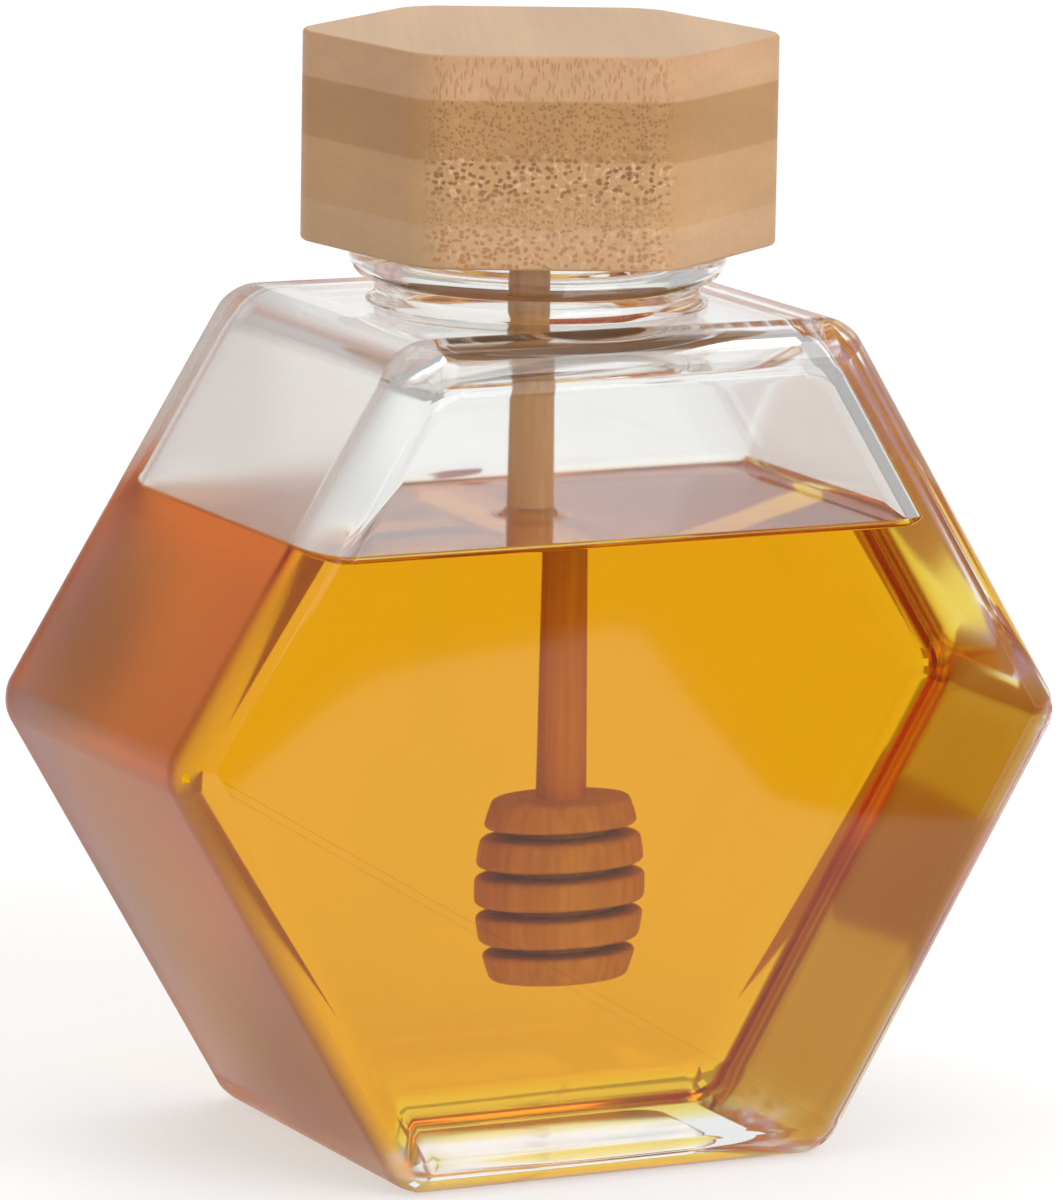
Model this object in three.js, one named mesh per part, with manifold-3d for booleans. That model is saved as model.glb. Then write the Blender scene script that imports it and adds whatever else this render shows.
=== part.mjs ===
// A honey pot: a clear glass jar whose six-sided body stands on one of its sides, with a round neck and a
// rolled rim, filled with honey to three quarters, closed by a six-sided bamboo lid that carries a turned
// wooden honey dipper.
// Millimetres, +Z up. X runs across the jar's wide face and Y through its depth, with the front at -Y.
// The origin is in the middle of the base, on the surface that the jar stands on.
import * as THREE from "three";
import { mergeVertices } from "three/addons/utils/BufferGeometryUtils.js";
import Module from "manifold-3d";

const wasm = await Module();
wasm.setup();

// Driving sizes of the glass body
const BODY_WIDTH = 115;
const BODY_HEIGHT = 99;
const BODY_DEPTH = 55.4;
const BASE_WIDTH = 54.8;
const SHOULDER_WIDTH = 56.6;
const WAIST_HEIGHT = 51.3;
const CORNER_RADIUS = 5.2;
const RIM_RADIUS = 4.8;

// Glass thickness and the inside corners, which are rounder than the outside ones
const FACE_WALL = 3.2;
const SIDE_WALL = 3.6;
const FLOOR_THICKNESS = 5.5;
const CEILING_THICKNESS = 3;
const INNER_CORNER_RADIUS = 7.5;
const INNER_RIM_RADIUS = 4;

// The shallow hollow pressed into the underside of the base
const BASE_HOLLOW_DEPTH = 0.8;
const BASE_HOLLOW_SLOPE = 3;
const BASE_HOLLOW_MARGIN = 7;

// Neck and rolled rim
const NECK_RADIUS = 18.9;
const BORE_RADIUS = 16;
const NECK_FILLET = 1.6;
const BORE_FILLET = 2.4;
const BEAD_RADIUS = 3.1;
const BEAD_HEIGHT = 104.6;

// Honey
const HONEY_LEVEL = 74.5;
const CLEARANCE = 0.3;

// Lid
const LID_ACROSS_FLATS = 49.7;
const LID_CORNER_RADIUS = 6.5;
const LID_BOTTOM = 105.9;
const LID_HEIGHT = 24.5;
const LID_EDGE = 0.5;
const LID_TURN = THREE.MathUtils.degToRad(-23.4);
const LID_RECESS_RADIUS = 22.4;
const STICK_SOCKET_DEPTH = 4;

// Dipper: a tapered stick and a barrel-shaped head of discs parted by grooves, a little left of the middle
const DIPPER_PLACE = -1;
const STICK_TOP_RADIUS = 2.3;
const STICK_FOOT_RADIUS = 3.15;
const HEAD_BOTTOM = 20.7;
const HEAD_HEIGHT = 21.4;
const HEAD_DISCS = 5;
const HEAD_RADIUS = 10.6;
const HEAD_END_RADIUS = 8.5;
const DISC_EDGE = 0.5;
const GROOVE_MOUTH = 1.3;
const GROOVE_FLOOR = 0.7;
const GROOVE_DEPTH = 3.8;

// Facets
const CORNER_STEPS = 5;
const RIM_STEPS = 4;
const ROUND_STEPS = 48;
const TURNED_STEPS = 28;
const BEAD_STEPS = 12;
const FILLET_STEPS = 4;

// Derived sizes
const RECESS_CEILING = BEAD_HEIGHT + BEAD_RADIUS + CLEARANCE;
const STICK_TOP = RECESS_CEILING + STICK_SOCKET_DEPTH;
const HEAD_TOP = HEAD_BOTTOM + HEAD_HEIGHT;
const CEILING_HEIGHT = BODY_HEIGHT - CEILING_THICKNESS;

const OUTLINE = [
  new THREE.Vector2(-BASE_WIDTH / 2, 0),
  new THREE.Vector2(BASE_WIDTH / 2, 0),
  new THREE.Vector2(BODY_WIDTH / 2, WAIST_HEIGHT),
  new THREE.Vector2(SHOULDER_WIDTH / 2, BODY_HEIGHT),
  new THREE.Vector2(-SHOULDER_WIDTH / 2, BODY_HEIGHT),
  new THREE.Vector2(-BODY_WIDTH / 2, WAIST_HEIGHT),
];
const WALLS = [
  FLOOR_THICKNESS,
  SIDE_WALL,
  SIDE_WALL,
  CEILING_THICKNESS,
  SIDE_WALL,
  SIDE_WALL,
];

// Materials
const glass = new THREE.MeshStandardMaterial({ color: 0xf2f5f4, roughness: 0.03, metalness: 0 });
glass.transparent = true;
glass.opacity = 0.3;
const honeyAmber = new THREE.MeshStandardMaterial({ color: 0xdf9a12, roughness: 0.05, metalness: 0 });
honeyAmber.transparent = true;
honeyAmber.opacity = 0.85;
const bamboo = new THREE.MeshStandardMaterial({ color: 0xc9a276, roughness: 0.6, metalness: 0 });
const turnedWood = new THREE.MeshStandardMaterial({ color: 0xb98a66, roughness: 0.55, metalness: 0 });

// A closed solid from a geometry, with shared corners merged and collapsed faces dropped.
function toSolid(geometry) {
  const bare = new THREE.BufferGeometry();
  bare.setAttribute("position", geometry.getAttribute("position"));
  bare.setIndex(geometry.getIndex());
  const merged = mergeVertices(bare, 1e-3);
  const index = merged.getIndex().array;
  const faces = [];
  for (let i = 0; i < index.length; i += 3) {
    const [a, b, c] = index.slice(i, i + 3);
    if (a !== b && b !== c && c !== a) faces.push(a, b, c);
  }
  return new wasm.Manifold(
    new wasm.Mesh({
      numProp: 3,
      vertProperties: new Float32Array(merged.getAttribute("position").array),
      triVerts: new Uint32Array(faces),
    }),
  );
}

// A named three.js mesh from a closed solid.
function toMesh(name, solid, material) {
  const data = solid.getMesh();
  const geometry = new THREE.BufferGeometry();
  geometry.setAttribute("position", new THREE.BufferAttribute(data.vertProperties, 3));
  geometry.setIndex(new THREE.BufferAttribute(data.triVerts, 1));
  geometry.computeVertexNormals();
  const mesh = new THREE.Mesh(geometry, material);
  mesh.name = name;
  return mesh;
}

// The outline moved inwards: side i, from corner i to the next, moves by distances[i].
function insetOutline(corners, distances) {
  const count = corners.length;
  const sides = corners.map((corner, i) => {
    const along = corners[(i + 1) % count].clone().sub(corner).normalize();
    const inward = new THREE.Vector2(-along.y, along.x);
    return { point: corner.clone().addScaledVector(inward, distances[i]), along };
  });
  return sides.map((side, i) => {
    const before = sides[(i + count - 1) % count];
    const gap = side.point.clone().sub(before.point);
    const reach = gap.cross(side.along) / before.along.cross(side.along);
    return before.point.clone().addScaledVector(before.along, reach);
  });
}

// A closed shape with every corner rounded to one radius.
function roundedShape(corners, radius) {
  const count = corners.length;
  const shape = new THREE.Shape();
  corners.forEach((corner, i) => {
    const toBefore = corners[(i + count - 1) % count].clone().sub(corner).normalize();
    const toAfter = corners[(i + 1) % count].clone().sub(corner).normalize();
    const half = Math.acos(toBefore.dot(toAfter)) / 2;
    const middle = toBefore.clone().add(toAfter).normalize();
    const centre = corner.clone().addScaledVector(middle, radius / Math.sin(half));
    const turn = Math.PI / 2 - half;
    const facing = Math.atan2(-middle.y, -middle.x);
    shape.absarc(centre.x, centre.y, radius, facing - turn, facing + turn, false);
  });
  shape.closePath();
  return shape;
}

// A rounded shape in the XZ plane, run through the depth with its front and back rims rounded.
function roundedPrism(corners, cornerRadius, rimRadius, depth) {
  const geometry = new THREE.ExtrudeGeometry(roundedShape(corners, cornerRadius), {
    depth: depth - 2 * rimRadius,
    curveSegments: CORNER_STEPS,
    bevelThickness: rimRadius,
    bevelSize: rimRadius,
    bevelOffset: -rimRadius,
    bevelSegments: RIM_STEPS,
  });
  geometry.translate(0, 0, rimRadius - depth / 2);
  geometry.rotateX(Math.PI / 2);
  return toSolid(geometry);
}

// A solid of revolution about Z from [radius, height] points that run upwards from axis to axis.
function turned(profile, steps) {
  const points = profile.map(([radius, height]) => new THREE.Vector2(radius, height));
  const geometry = new THREE.LatheGeometry(points, steps);
  geometry.rotateX(Math.PI / 2);
  return toSolid(geometry);
}

// [radius, height] points on an arc, with angles in degrees from the outward direction.
function arcPoints(radius, height, size, from, to, steps) {
  return Array.from({ length: steps + 1 }, (_, i) => {
    const angle = THREE.MathUtils.degToRad(from + ((to - from) * i) / steps);
    return [radius + size * Math.cos(angle), height + size * Math.sin(angle)];
  });
}

// The jar's inside, or the honey's outside when moved in by a clearance.
function cavity(clearance) {
  const inner = insetOutline(OUTLINE, WALLS.map((wall) => wall + clearance));
  const depth = BODY_DEPTH - 2 * (FACE_WALL + clearance);
  return roundedPrism(inner, INNER_CORNER_RADIUS - clearance, INNER_RIM_RADIUS - clearance, depth);
}

// The outside of the neck: a small fillet off the shoulder, a short wall and the outer half of the bead.
function neckOutside() {
  const foot = BODY_HEIGHT - CEILING_THICKNESS / 2;
  const corner = NECK_RADIUS + NECK_FILLET;
  const flare = arcPoints(corner, BODY_HEIGHT + NECK_FILLET, NECK_FILLET, 262, 180, FILLET_STEPS);
  const bead = arcPoints(NECK_RADIUS, BEAD_HEIGHT, BEAD_RADIUS, -90, 90, BEAD_STEPS);
  return turned(
    [[0, foot], [flare[0][0], foot], ...flare, ...bead, [0, BEAD_HEIGHT + BEAD_RADIUS]],
    ROUND_STEPS,
  );
}

// What the mouth leaves open: the bore, rounded out into the jar below and over the rim above.
function mouthHollow() {
  const bottom = CEILING_HEIGHT - BORE_FILLET;
  const corner = BORE_RADIUS + BORE_FILLET;
  const lower = arcPoints(corner, CEILING_HEIGHT + BORE_FILLET, BORE_FILLET, 262, 180, FILLET_STEPS);
  const rim = NECK_RADIUS - BORE_RADIUS;
  const upper = arcPoints(NECK_RADIUS, BEAD_HEIGHT, rim, 180, 90, BEAD_STEPS / 2).map(([radius, height]) => [
    radius,
    BEAD_HEIGHT + ((height - BEAD_HEIGHT) * BEAD_RADIUS) / rim,
  ]);
  const top = BEAD_HEIGHT + 2 * BEAD_RADIUS;
  return turned(
    [[0, bottom], [lower[0][0], bottom], ...lower, ...upper, [NECK_RADIUS, top], [0, top]],
    ROUND_STEPS,
  );
}

// The shallow hollow under the base, with sloping sides.
function baseHollow() {
  const width = BASE_WIDTH - 2 * BASE_HOLLOW_MARGIN;
  const depth = BODY_DEPTH - 2 * BASE_HOLLOW_MARGIN;
  const corners = [
    new THREE.Vector2(-width / 2, -depth / 2),
    new THREE.Vector2(width / 2, -depth / 2),
    new THREE.Vector2(width / 2, depth / 2),
    new THREE.Vector2(-width / 2, depth / 2),
  ];
  const geometry = new THREE.ExtrudeGeometry(roundedShape(corners, CORNER_RADIUS), {
    depth: BASE_HOLLOW_DEPTH,
    curveSegments: CORNER_STEPS,
    bevelThickness: BASE_HOLLOW_DEPTH,
    bevelSize: BASE_HOLLOW_SLOPE,
    bevelOffset: -BASE_HOLLOW_SLOPE,
    bevelSegments: 1,
  });
  geometry.translate(0, 0, -BASE_HOLLOW_DEPTH);
  return toSolid(geometry);
}

// The glass jar, in one piece.
function jar() {
  const body = roundedPrism(OUTLINE, CORNER_RADIUS, RIM_RADIUS, BODY_DEPTH);
  const outside = body.add(neckOutside());
  return outside.subtract(cavity(0)).subtract(mouthHollow()).subtract(baseHollow());
}

// Radius of the head's barrel at a height.
function barrelRadius(height) {
  const share = (2 * (height - HEAD_BOTTOM)) / HEAD_HEIGHT - 1;
  return HEAD_RADIUS - (HEAD_RADIUS - HEAD_END_RADIUS) * share * share;
}

// The dipper's profile from its foot up, grown outwards on every face by a margin.
function dipperProfile(margin) {
  const pitch = (HEAD_HEIGHT + GROOVE_MOUTH) / HEAD_DISCS;
  const slant = (GROOVE_MOUTH - GROOVE_FLOOR) / 2;
  const grooveRadius = (height) => barrelRadius(height) - GROOVE_DEPTH + margin;
  const points = [[0, HEAD_BOTTOM - margin]];
  for (let i = 0; i < HEAD_DISCS; i++) {
    const low = HEAD_BOTTOM + i * pitch;
    const high = low + pitch - GROOVE_MOUTH;
    if (i > 0) points.push([grooveRadius(low - GROOVE_MOUTH / 2), low - slant - margin]);
    points.push([barrelRadius(low) - DISC_EDGE + margin, low - margin]);
    points.push([barrelRadius(low + DISC_EDGE) + margin, low + DISC_EDGE - margin]);
    points.push([barrelRadius((low + high) / 2) + margin, (low + high) / 2]);
    points.push([barrelRadius(high - DISC_EDGE) + margin, high - DISC_EDGE + margin]);
    points.push([barrelRadius(high) - DISC_EDGE + margin, high + margin]);
    if (i < HEAD_DISCS - 1) points.push([grooveRadius(high + GROOVE_MOUTH / 2), high + slant + margin]);
  }
  points.push([STICK_FOOT_RADIUS + margin, HEAD_TOP + margin]);
  points.push([STICK_TOP_RADIUS + margin, STICK_TOP + margin]);
  points.push([0, STICK_TOP + margin]);
  return points;
}

// The dipper, or the room that it takes up with a margin, at its place.
function dipperBody(margin) {
  return turned(dipperProfile(margin), TURNED_STEPS).translate([DIPPER_PLACE, 0, 0]);
}

// The honey, up to its level and cut round the dipper.
function honey() {
  const below = new THREE.BoxGeometry(BODY_WIDTH, BODY_DEPTH, HONEY_LEVEL);
  below.translate(0, 0, HONEY_LEVEL / 2);
  const filled = cavity(CLEARANCE).intersect(toSolid(below));
  return filled.subtract(dipperBody(CLEARANCE));
}

// A round hole about Z between two heights.
function roundHole(radius, bottom, top) {
  return turned([[0, bottom], [radius, bottom], [radius, top], [0, top]], ROUND_STEPS);
}

// The lid: a six-sided block with a round recess that sits over the rim and a socket that holds the stick.
function lid() {
  const circumradius = LID_ACROSS_FLATS / 2 / Math.cos(Math.PI / 6);
  const corners = Array.from({ length: 6 }, (_, i) => {
    const angle = LID_TURN + (i * Math.PI) / 3;
    return new THREE.Vector2(circumradius * Math.cos(angle), circumradius * Math.sin(angle));
  });
  const geometry = new THREE.ExtrudeGeometry(roundedShape(corners, LID_CORNER_RADIUS), {
    depth: LID_HEIGHT - 2 * LID_EDGE,
    curveSegments: CORNER_STEPS,
    bevelThickness: LID_EDGE,
    bevelSize: LID_EDGE,
    bevelOffset: -LID_EDGE,
    bevelSegments: 2,
  });
  geometry.translate(0, 0, LID_BOTTOM + LID_EDGE);
  const socketRadius = STICK_TOP_RADIUS + 2 * CLEARANCE;
  const recess = roundHole(LID_RECESS_RADIUS, LID_BOTTOM - 1, RECESS_CEILING);
  const socket = roundHole(socketRadius, LID_BOTTOM, STICK_TOP + CLEARANCE);
  return toSolid(geometry).subtract(recess).subtract(socket.translate([DIPPER_PLACE, 0, 0]));
}

const honeyPot = new THREE.Group();
honeyPot.add(toMesh("jar", jar(), glass));
honeyPot.add(toMesh("honey", honey(), honeyAmber));
honeyPot.add(toMesh("dipper", dipperBody(0), turnedWood));
honeyPot.add(toMesh("lid", lid(), bamboo));

export default honeyPot;
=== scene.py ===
"""Dresses the honey pot: a clear glass jar of honey with a bamboo lid and a turned wooden dipper.

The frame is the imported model's own: +Z up, the jar's front face at -Y, the origin in the middle of the base.
Sizes of the pot are in millimetres and become metres where its mesh is made; the studio's are in metres.
"""

from __future__ import annotations

import logging
import math
from dataclasses import dataclass, field
from enum import Enum
from typing import Callable, Iterable, Sequence

import bmesh
import bpy
from bmesh.types import BMEdge, BMesh, BMFace, BMVert
from bpy.types import Material, Node, NodeSocket, Object
from mathutils import Matrix, Vector

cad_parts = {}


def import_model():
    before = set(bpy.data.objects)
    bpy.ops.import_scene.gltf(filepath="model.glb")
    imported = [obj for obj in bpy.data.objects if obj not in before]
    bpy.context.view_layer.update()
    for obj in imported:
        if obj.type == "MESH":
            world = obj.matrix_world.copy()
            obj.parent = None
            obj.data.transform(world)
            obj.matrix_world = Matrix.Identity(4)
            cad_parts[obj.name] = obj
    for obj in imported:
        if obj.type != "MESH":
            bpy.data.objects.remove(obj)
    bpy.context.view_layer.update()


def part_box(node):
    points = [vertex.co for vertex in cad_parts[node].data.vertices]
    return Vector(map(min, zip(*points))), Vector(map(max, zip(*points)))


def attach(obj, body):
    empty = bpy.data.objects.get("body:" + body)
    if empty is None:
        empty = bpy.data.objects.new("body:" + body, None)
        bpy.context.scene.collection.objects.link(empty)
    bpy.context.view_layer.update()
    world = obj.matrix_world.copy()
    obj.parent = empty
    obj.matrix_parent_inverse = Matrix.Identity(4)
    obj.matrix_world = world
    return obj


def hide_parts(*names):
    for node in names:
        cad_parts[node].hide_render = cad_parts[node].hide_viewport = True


LOG = logging.getLogger("honey_pot")
MM = 0.001
# Vertices closer than this merge, in millimetres.
WELD = 1e-4
# Faces narrower than this join their neighbour, in millimetres.
SLIVER = 0.02
# Neighbours that bend less than this, in degrees, become one face.
FLAT_ANGLE = 0.4
# Faces smaller than this, in square metres, are roundings and are shaded smooth.
FLAT_AREA = 2e-4
WHITE = (1.0, 1.0, 1.0, 1.0)
# How far a 120 degree corner's arc reaches along its sides, for each unit of radius.
CORNER_SHARE = math.tan(math.radians(30.0))
Colour = tuple[float, float, float]
Triple = tuple[float, float, float]
Section = tuple[float, float]


class Cut(Enum):
    """How one solid works on another."""

    JOIN = "UNION"
    REMOVE = "DIFFERENCE"


class Slot(Enum):
    """The record's material slots."""

    GLASS = "clear_glass"
    HONEY = "honey_amber"
    TURNED_WOOD = "turned_wood"
    BAMBOO = "bamboo"


# Shaping


def verts_of(made: Iterable[object]) -> list[BMVert]:
    """The vertices among the elements that a bmesh operator made."""
    return [item for item in made if isinstance(item, BMVert)]


def edges_of(bm: BMesh, test: Callable[[BMFace], bool]) -> list[BMEdge]:
    """The edges of the faces that pass a test, in the mesh's own order."""
    return [edge for edge in bm.edges if any(test(face) for face in edge.link_faces)]


def round_edges(bm: BMesh, edges: Sequence[BMEdge], offset: float, steps: int) -> None:
    """Rounds edges with an arc.

    Args:
        bm: the mesh to work on.
        edges: the edges to round.
        offset: how far the arc reaches along each face, in millimetres.
        steps: segments in the arc.
    """
    bmesh.ops.bevel(
        bm,
        geom=list(edges),
        offset=offset,
        offset_type="OFFSET",
        affect="EDGES",
        segments=steps,
        profile=0.5,
        material=-1,
        clamp_overlap=False,
    )


def tidy(bm: BMesh) -> BMesh:
    """Merges a closed mesh's doubles, turns its faces outwards and hands it back."""
    bmesh.ops.remove_doubles(bm, verts=bm.verts[:], dist=WELD)
    bmesh.ops.recalc_face_normals(bm, faces=bm.faces[:])
    return bm


def merge_flats(bm: BMesh) -> None:
    """Merges slivers with the face on their long side, and neighbours that lie in one plane.

    Args:
        bm: the mesh, in millimetres.
    """
    long_sides = []
    for face in bm.faces:
        longest = max(face.edges, key=lambda edge: edge.calc_length())
        if face.calc_area() < SLIVER * longest.calc_length():
            long_sides.append(longest)
    once = list(dict.fromkeys(long_sides))
    bmesh.ops.dissolve_edges(bm, edges=once, use_verts=False, use_face_split=False)
    bmesh.ops.dissolve_limit(
        bm,
        angle_limit=math.radians(FLAT_ANGLE),
        use_dissolve_boundaries=False,
        verts=bm.verts[:],
        edges=bm.edges[:],
    )


class Outline:
    """Half of a turned piece's section, drawn stroke by stroke in the XZ plane and then spun about Z."""

    def __init__(self, radius: float, height: float) -> None:
        """Starts the section at a point."""
        self.bm = bmesh.new()
        self.tip = self.bm.verts.new((radius, 0.0, height))

    def line(self, radius: float, height: float) -> Outline:
        """Draws a straight stroke to a radius and a height, and returns the outline for the next stroke."""
        made = bmesh.ops.extrude_vert_indiv(self.bm, verts=[self.tip])
        self.tip = made["verts"][0]
        self.tip.co = (radius, 0.0, height)
        return self

    def arc(self, radius: float, height: float, degrees: float, steps: int) -> Outline:
        """Draws an arc about a centre.

        Args:
            radius: the centre's distance from the axis.
            height: the centre's height.
            degrees: how far to turn, positive from outwards to upwards.
            steps: segments in the arc.

        Returns:
            The outline itself.
        """
        made = bmesh.ops.spin(
            self.bm,
            geom=[self.tip],
            cent=(radius, 0.0, height),
            axis=(0.0, 1.0, 0.0),
            angle=-math.radians(degrees),
            steps=steps,
            use_merge=False,
            use_duplicate=False,
        )
        self.tip = verts_of(made["geom_last"])[0]
        return self

    def spin(self, steps: int) -> BMesh:
        """Spins the section into a closed solid with that many segments round the axis."""
        bmesh.ops.spin(
            self.bm,
            geom=self.bm.verts[:] + self.bm.edges[:],
            cent=(0.0, 0.0, 0.0),
            axis=(0.0, 0.0, 1.0),
            angle=math.tau,
            steps=steps,
            use_merge=True,
            use_duplicate=False,
        )
        return tidy(self.bm)


def rounded_prism(
    corners: Sequence[Section],
    depth: float,
    corner_reach: float,
    rim_radius: float,
    steps: tuple[int, int],
) -> BMesh:
    """Runs an upright outline through the depth and rounds its corners and its front and back rims.

    Args:
        corners: the outline's sharp corners as (x, z), seen from the front, anticlockwise.
        depth: length along Y, centred on the origin.
        corner_reach: how far each corner's arc reaches along its sides.
        rim_radius: radius of the front and back rims.
        steps: segments in a corner's arc and in a rim's arc.

    Returns:
        A closed mesh in millimetres.
    """
    bm = bmesh.new()
    front = bm.faces.new([bm.verts.new((x, -depth / 2, z)) for x, z in corners])
    made = bmesh.ops.extrude_face_region(bm, geom=[front])
    bmesh.ops.translate(bm, vec=(0.0, depth, 0.0), verts=verts_of(made["geom"]))
    bmesh.ops.recalc_face_normals(bm, faces=bm.faces[:])
    runs = [e for e in bm.edges if abs(e.verts[0].co.y - e.verts[1].co.y) > depth / 2]
    round_edges(bm, runs, corner_reach, steps[0])
    ends = edges_of(bm, lambda face: abs(face.normal.y) > 0.99)
    round_edges(bm, ends, rim_radius, steps[1])
    return tidy(bm)


def smooth_small_faces(bm: BMesh) -> None:
    """Shades the roundings of a mesh in metres smooth, and leaves its broad faces flat."""
    for face in bm.faces:
        face.smooth = face.calc_area() < FLAT_AREA


def make_piece(name: str, bm: BMesh) -> Object:
    """Turns a mesh in millimetres into an object in metres at the origin.

    Args:
        name: the object's name.
        bm: the mesh, which is freed.

    Returns:
        The new object, with its roundings shaded smooth.
    """
    bmesh.ops.scale(bm, vec=(MM, MM, MM), verts=bm.verts[:])
    smooth_small_faces(bm)
    mesh = bpy.data.meshes.new(name)
    bm.to_mesh(mesh)
    bm.free()
    piece = bpy.data.objects.new(name, mesh)
    bpy.context.scene.collection.objects.link(piece)
    return piece


def work(piece: Object, tool: Object, cut: Cut) -> None:
    """Joins a tool to a piece or cuts the piece with it, and drops the tool.

    Args:
        piece: the object that stays.
        tool: the object that is used up.
        cut: what the tool does.
    """
    step = piece.modifiers.new(cut.name.lower(), "BOOLEAN")
    step.operation = cut.value
    step.solver = "EXACT"
    step.object = tool
    graph = bpy.context.evaluated_depsgraph_get()
    made = bpy.data.meshes.new_from_object(piece.evaluated_get(graph))
    piece.modifiers.clear()
    old = piece.data
    piece.data = made
    made.name = piece.name
    bpy.data.meshes.remove(old)
    bpy.data.meshes.remove(tool.data)


def reshape(piece: Object, shaping: Callable[[BMesh], None]) -> None:
    """Opens a piece's mesh in millimetres, reshapes it and puts it back.

    Args:
        piece: the object whose mesh is changed.
        shaping: what is done to the open mesh.
    """
    bm = bmesh.new()
    bm.from_mesh(piece.data)
    bmesh.ops.scale(bm, vec=(1 / MM, 1 / MM, 1 / MM), verts=bm.verts[:])
    shaping(bm)
    bmesh.ops.scale(bm, vec=(MM, MM, MM), verts=bm.verts[:])
    smooth_small_faces(bm)
    bm.to_mesh(piece.data)
    bm.free()


def even_normals(piece: Object, sharp_degrees: float) -> None:
    """Keeps flat faces flat and roundings smooth in the shading.

    Args:
        piece: the object to finish.
        sharp_degrees: edges steeper than this stay crisp.
    """
    piece.data.set_sharp_from_angle(angle=math.radians(sharp_degrees))
    step = piece.modifiers.new("even_normals", "WEIGHTED_NORMAL")
    step.keep_sharp = True
    step.weight = 80


def mark_faces(piece: Object, name: str, test: Callable[[Vector, Vector], bool]) -> None:
    """Writes a face attribute of 1 where a test holds and 0 elsewhere.

    Args:
        piece: the object to mark.
        name: the attribute's name.
        test: takes a face's centre in millimetres and its normal.
    """
    mesh = piece.data
    marks = mesh.attributes.new(name, "FLOAT", "FACE")
    for face in mesh.polygons:
        marks.data[face.index].value = float(test(face.center / MM, face.normal))


# Finishes


class Bench:
    """The bench on which one finish's nodes are laid out and joined."""

    def __init__(self, name: str) -> None:
        """Clears a new material of that name."""
        self.material: Material = bpy.data.materials.new(name)
        self.material.use_nodes = True
        self.tree = self.material.node_tree
        self.tree.nodes.clear()
        self.output = self.tree.nodes.new("ShaderNodeOutputMaterial")

    def add(self, kind: str, inputs: dict[str | int, object] | None = None, **settings: object) -> Node:
        """Adds a node.

        Args:
            kind: the node's type, without its ShaderNode prefix.
            inputs: what each socket gets: another socket is joined, any other value is set.
            settings: the node's own properties.

        Returns:
            The node.
        """
        node = self.tree.nodes.new("ShaderNode" + kind)
        for key, value in settings.items():
            setattr(node, key, value)
        for key, value in (inputs or {}).items():
            if isinstance(value, NodeSocket):
                self.tree.links.new(value, node.inputs[key])
            else:
                node.inputs[key].default_value = value
        return node

    def math(self, operation: str, first: object, second: object = 0.0) -> NodeSocket:
        """The result of one operation on two numbers or sockets."""
        return self.add("Math", {0: first, 1: second}, operation=operation).outputs[0]

    def times(self, first: object, second: object) -> NodeSocket:
        """The product of two numbers or sockets."""
        return self.math("MULTIPLY", first, second)

    def plus(self, first: object, second: object) -> NodeSocket:
        """The sum of two numbers or sockets."""
        return self.math("ADD", first, second)

    def less(self, first: object, second: object) -> NodeSocket:
        """The first number or socket less the second."""
        return self.math("SUBTRACT", first, second)

    def fade(self, value: NodeSocket, start: float, end: float) -> NodeSocket:
        """A smooth step from 0 where a value is at start to 1 at end, either of which may be the larger."""
        inputs = {"Value": value, "From Min": start, "From Max": end}
        return self.add("MapRange", inputs, interpolation_type="SMOOTHSTEP").outputs["Result"]

    def blend(self, factor: object, first: object, second: object, mode: str = "MIX") -> NodeSocket:
        """Blends a second colour into a first.

        Args:
            factor: the share of the second, a number or a socket.
            first: a colour or a socket.
            second: a colour or a socket.
            mode: the way of blending.

        Returns:
            The socket that gives the colour.
        """
        node = self.add("Mix", data_type="RGBA", blend_type=mode)
        for key, value in ((0, factor), (6, first), (7, second)):
            if isinstance(value, NodeSocket):
                self.tree.links.new(value, node.inputs[key])
            elif key == 0:
                node.inputs[key].default_value = value
            else:
                node.inputs[key].default_value = (*value, 1.0)
        return node.outputs[2]

    def stretch(self, place: NodeSocket, scale: Triple) -> NodeSocket:
        """A place multiplied along X, Y and Z."""
        return self.add("VectorMath", {0: place, 1: scale}, operation="MULTIPLY").outputs[0]

    def unbent_where(self, mark: str, bare: Node) -> Node:
        """Lets light pass straight through where two clear pieces touch.

        Args:
            mark: the face attribute that is 1 where they touch.
            bare: the surface elsewhere.

        Returns:
            The mixed surface.
        """
        unbent = self.add(
            "BsdfPrincipled",
            {"Base Color": WHITE, "Roughness": 0.0, "IOR": 1.0, "Transmission Weight": 1.0},
        )
        share = self.add("Attribute", attribute_name=mark).outputs["Fac"]
        return self.add("MixShader", {0: share, 1: bare.outputs[0], 2: unbent.outputs[0]})

    def finish(self, surface: Node, volume: Node | None = None) -> Material:
        """Joins the surface, and what fills the piece if anything does, to the output."""
        self.tree.links.new(surface.outputs[0], self.output.inputs["Surface"])
        if volume is not None:
            self.tree.links.new(volume.outputs[0], self.output.inputs["Volume"])
        return self.material


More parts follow.
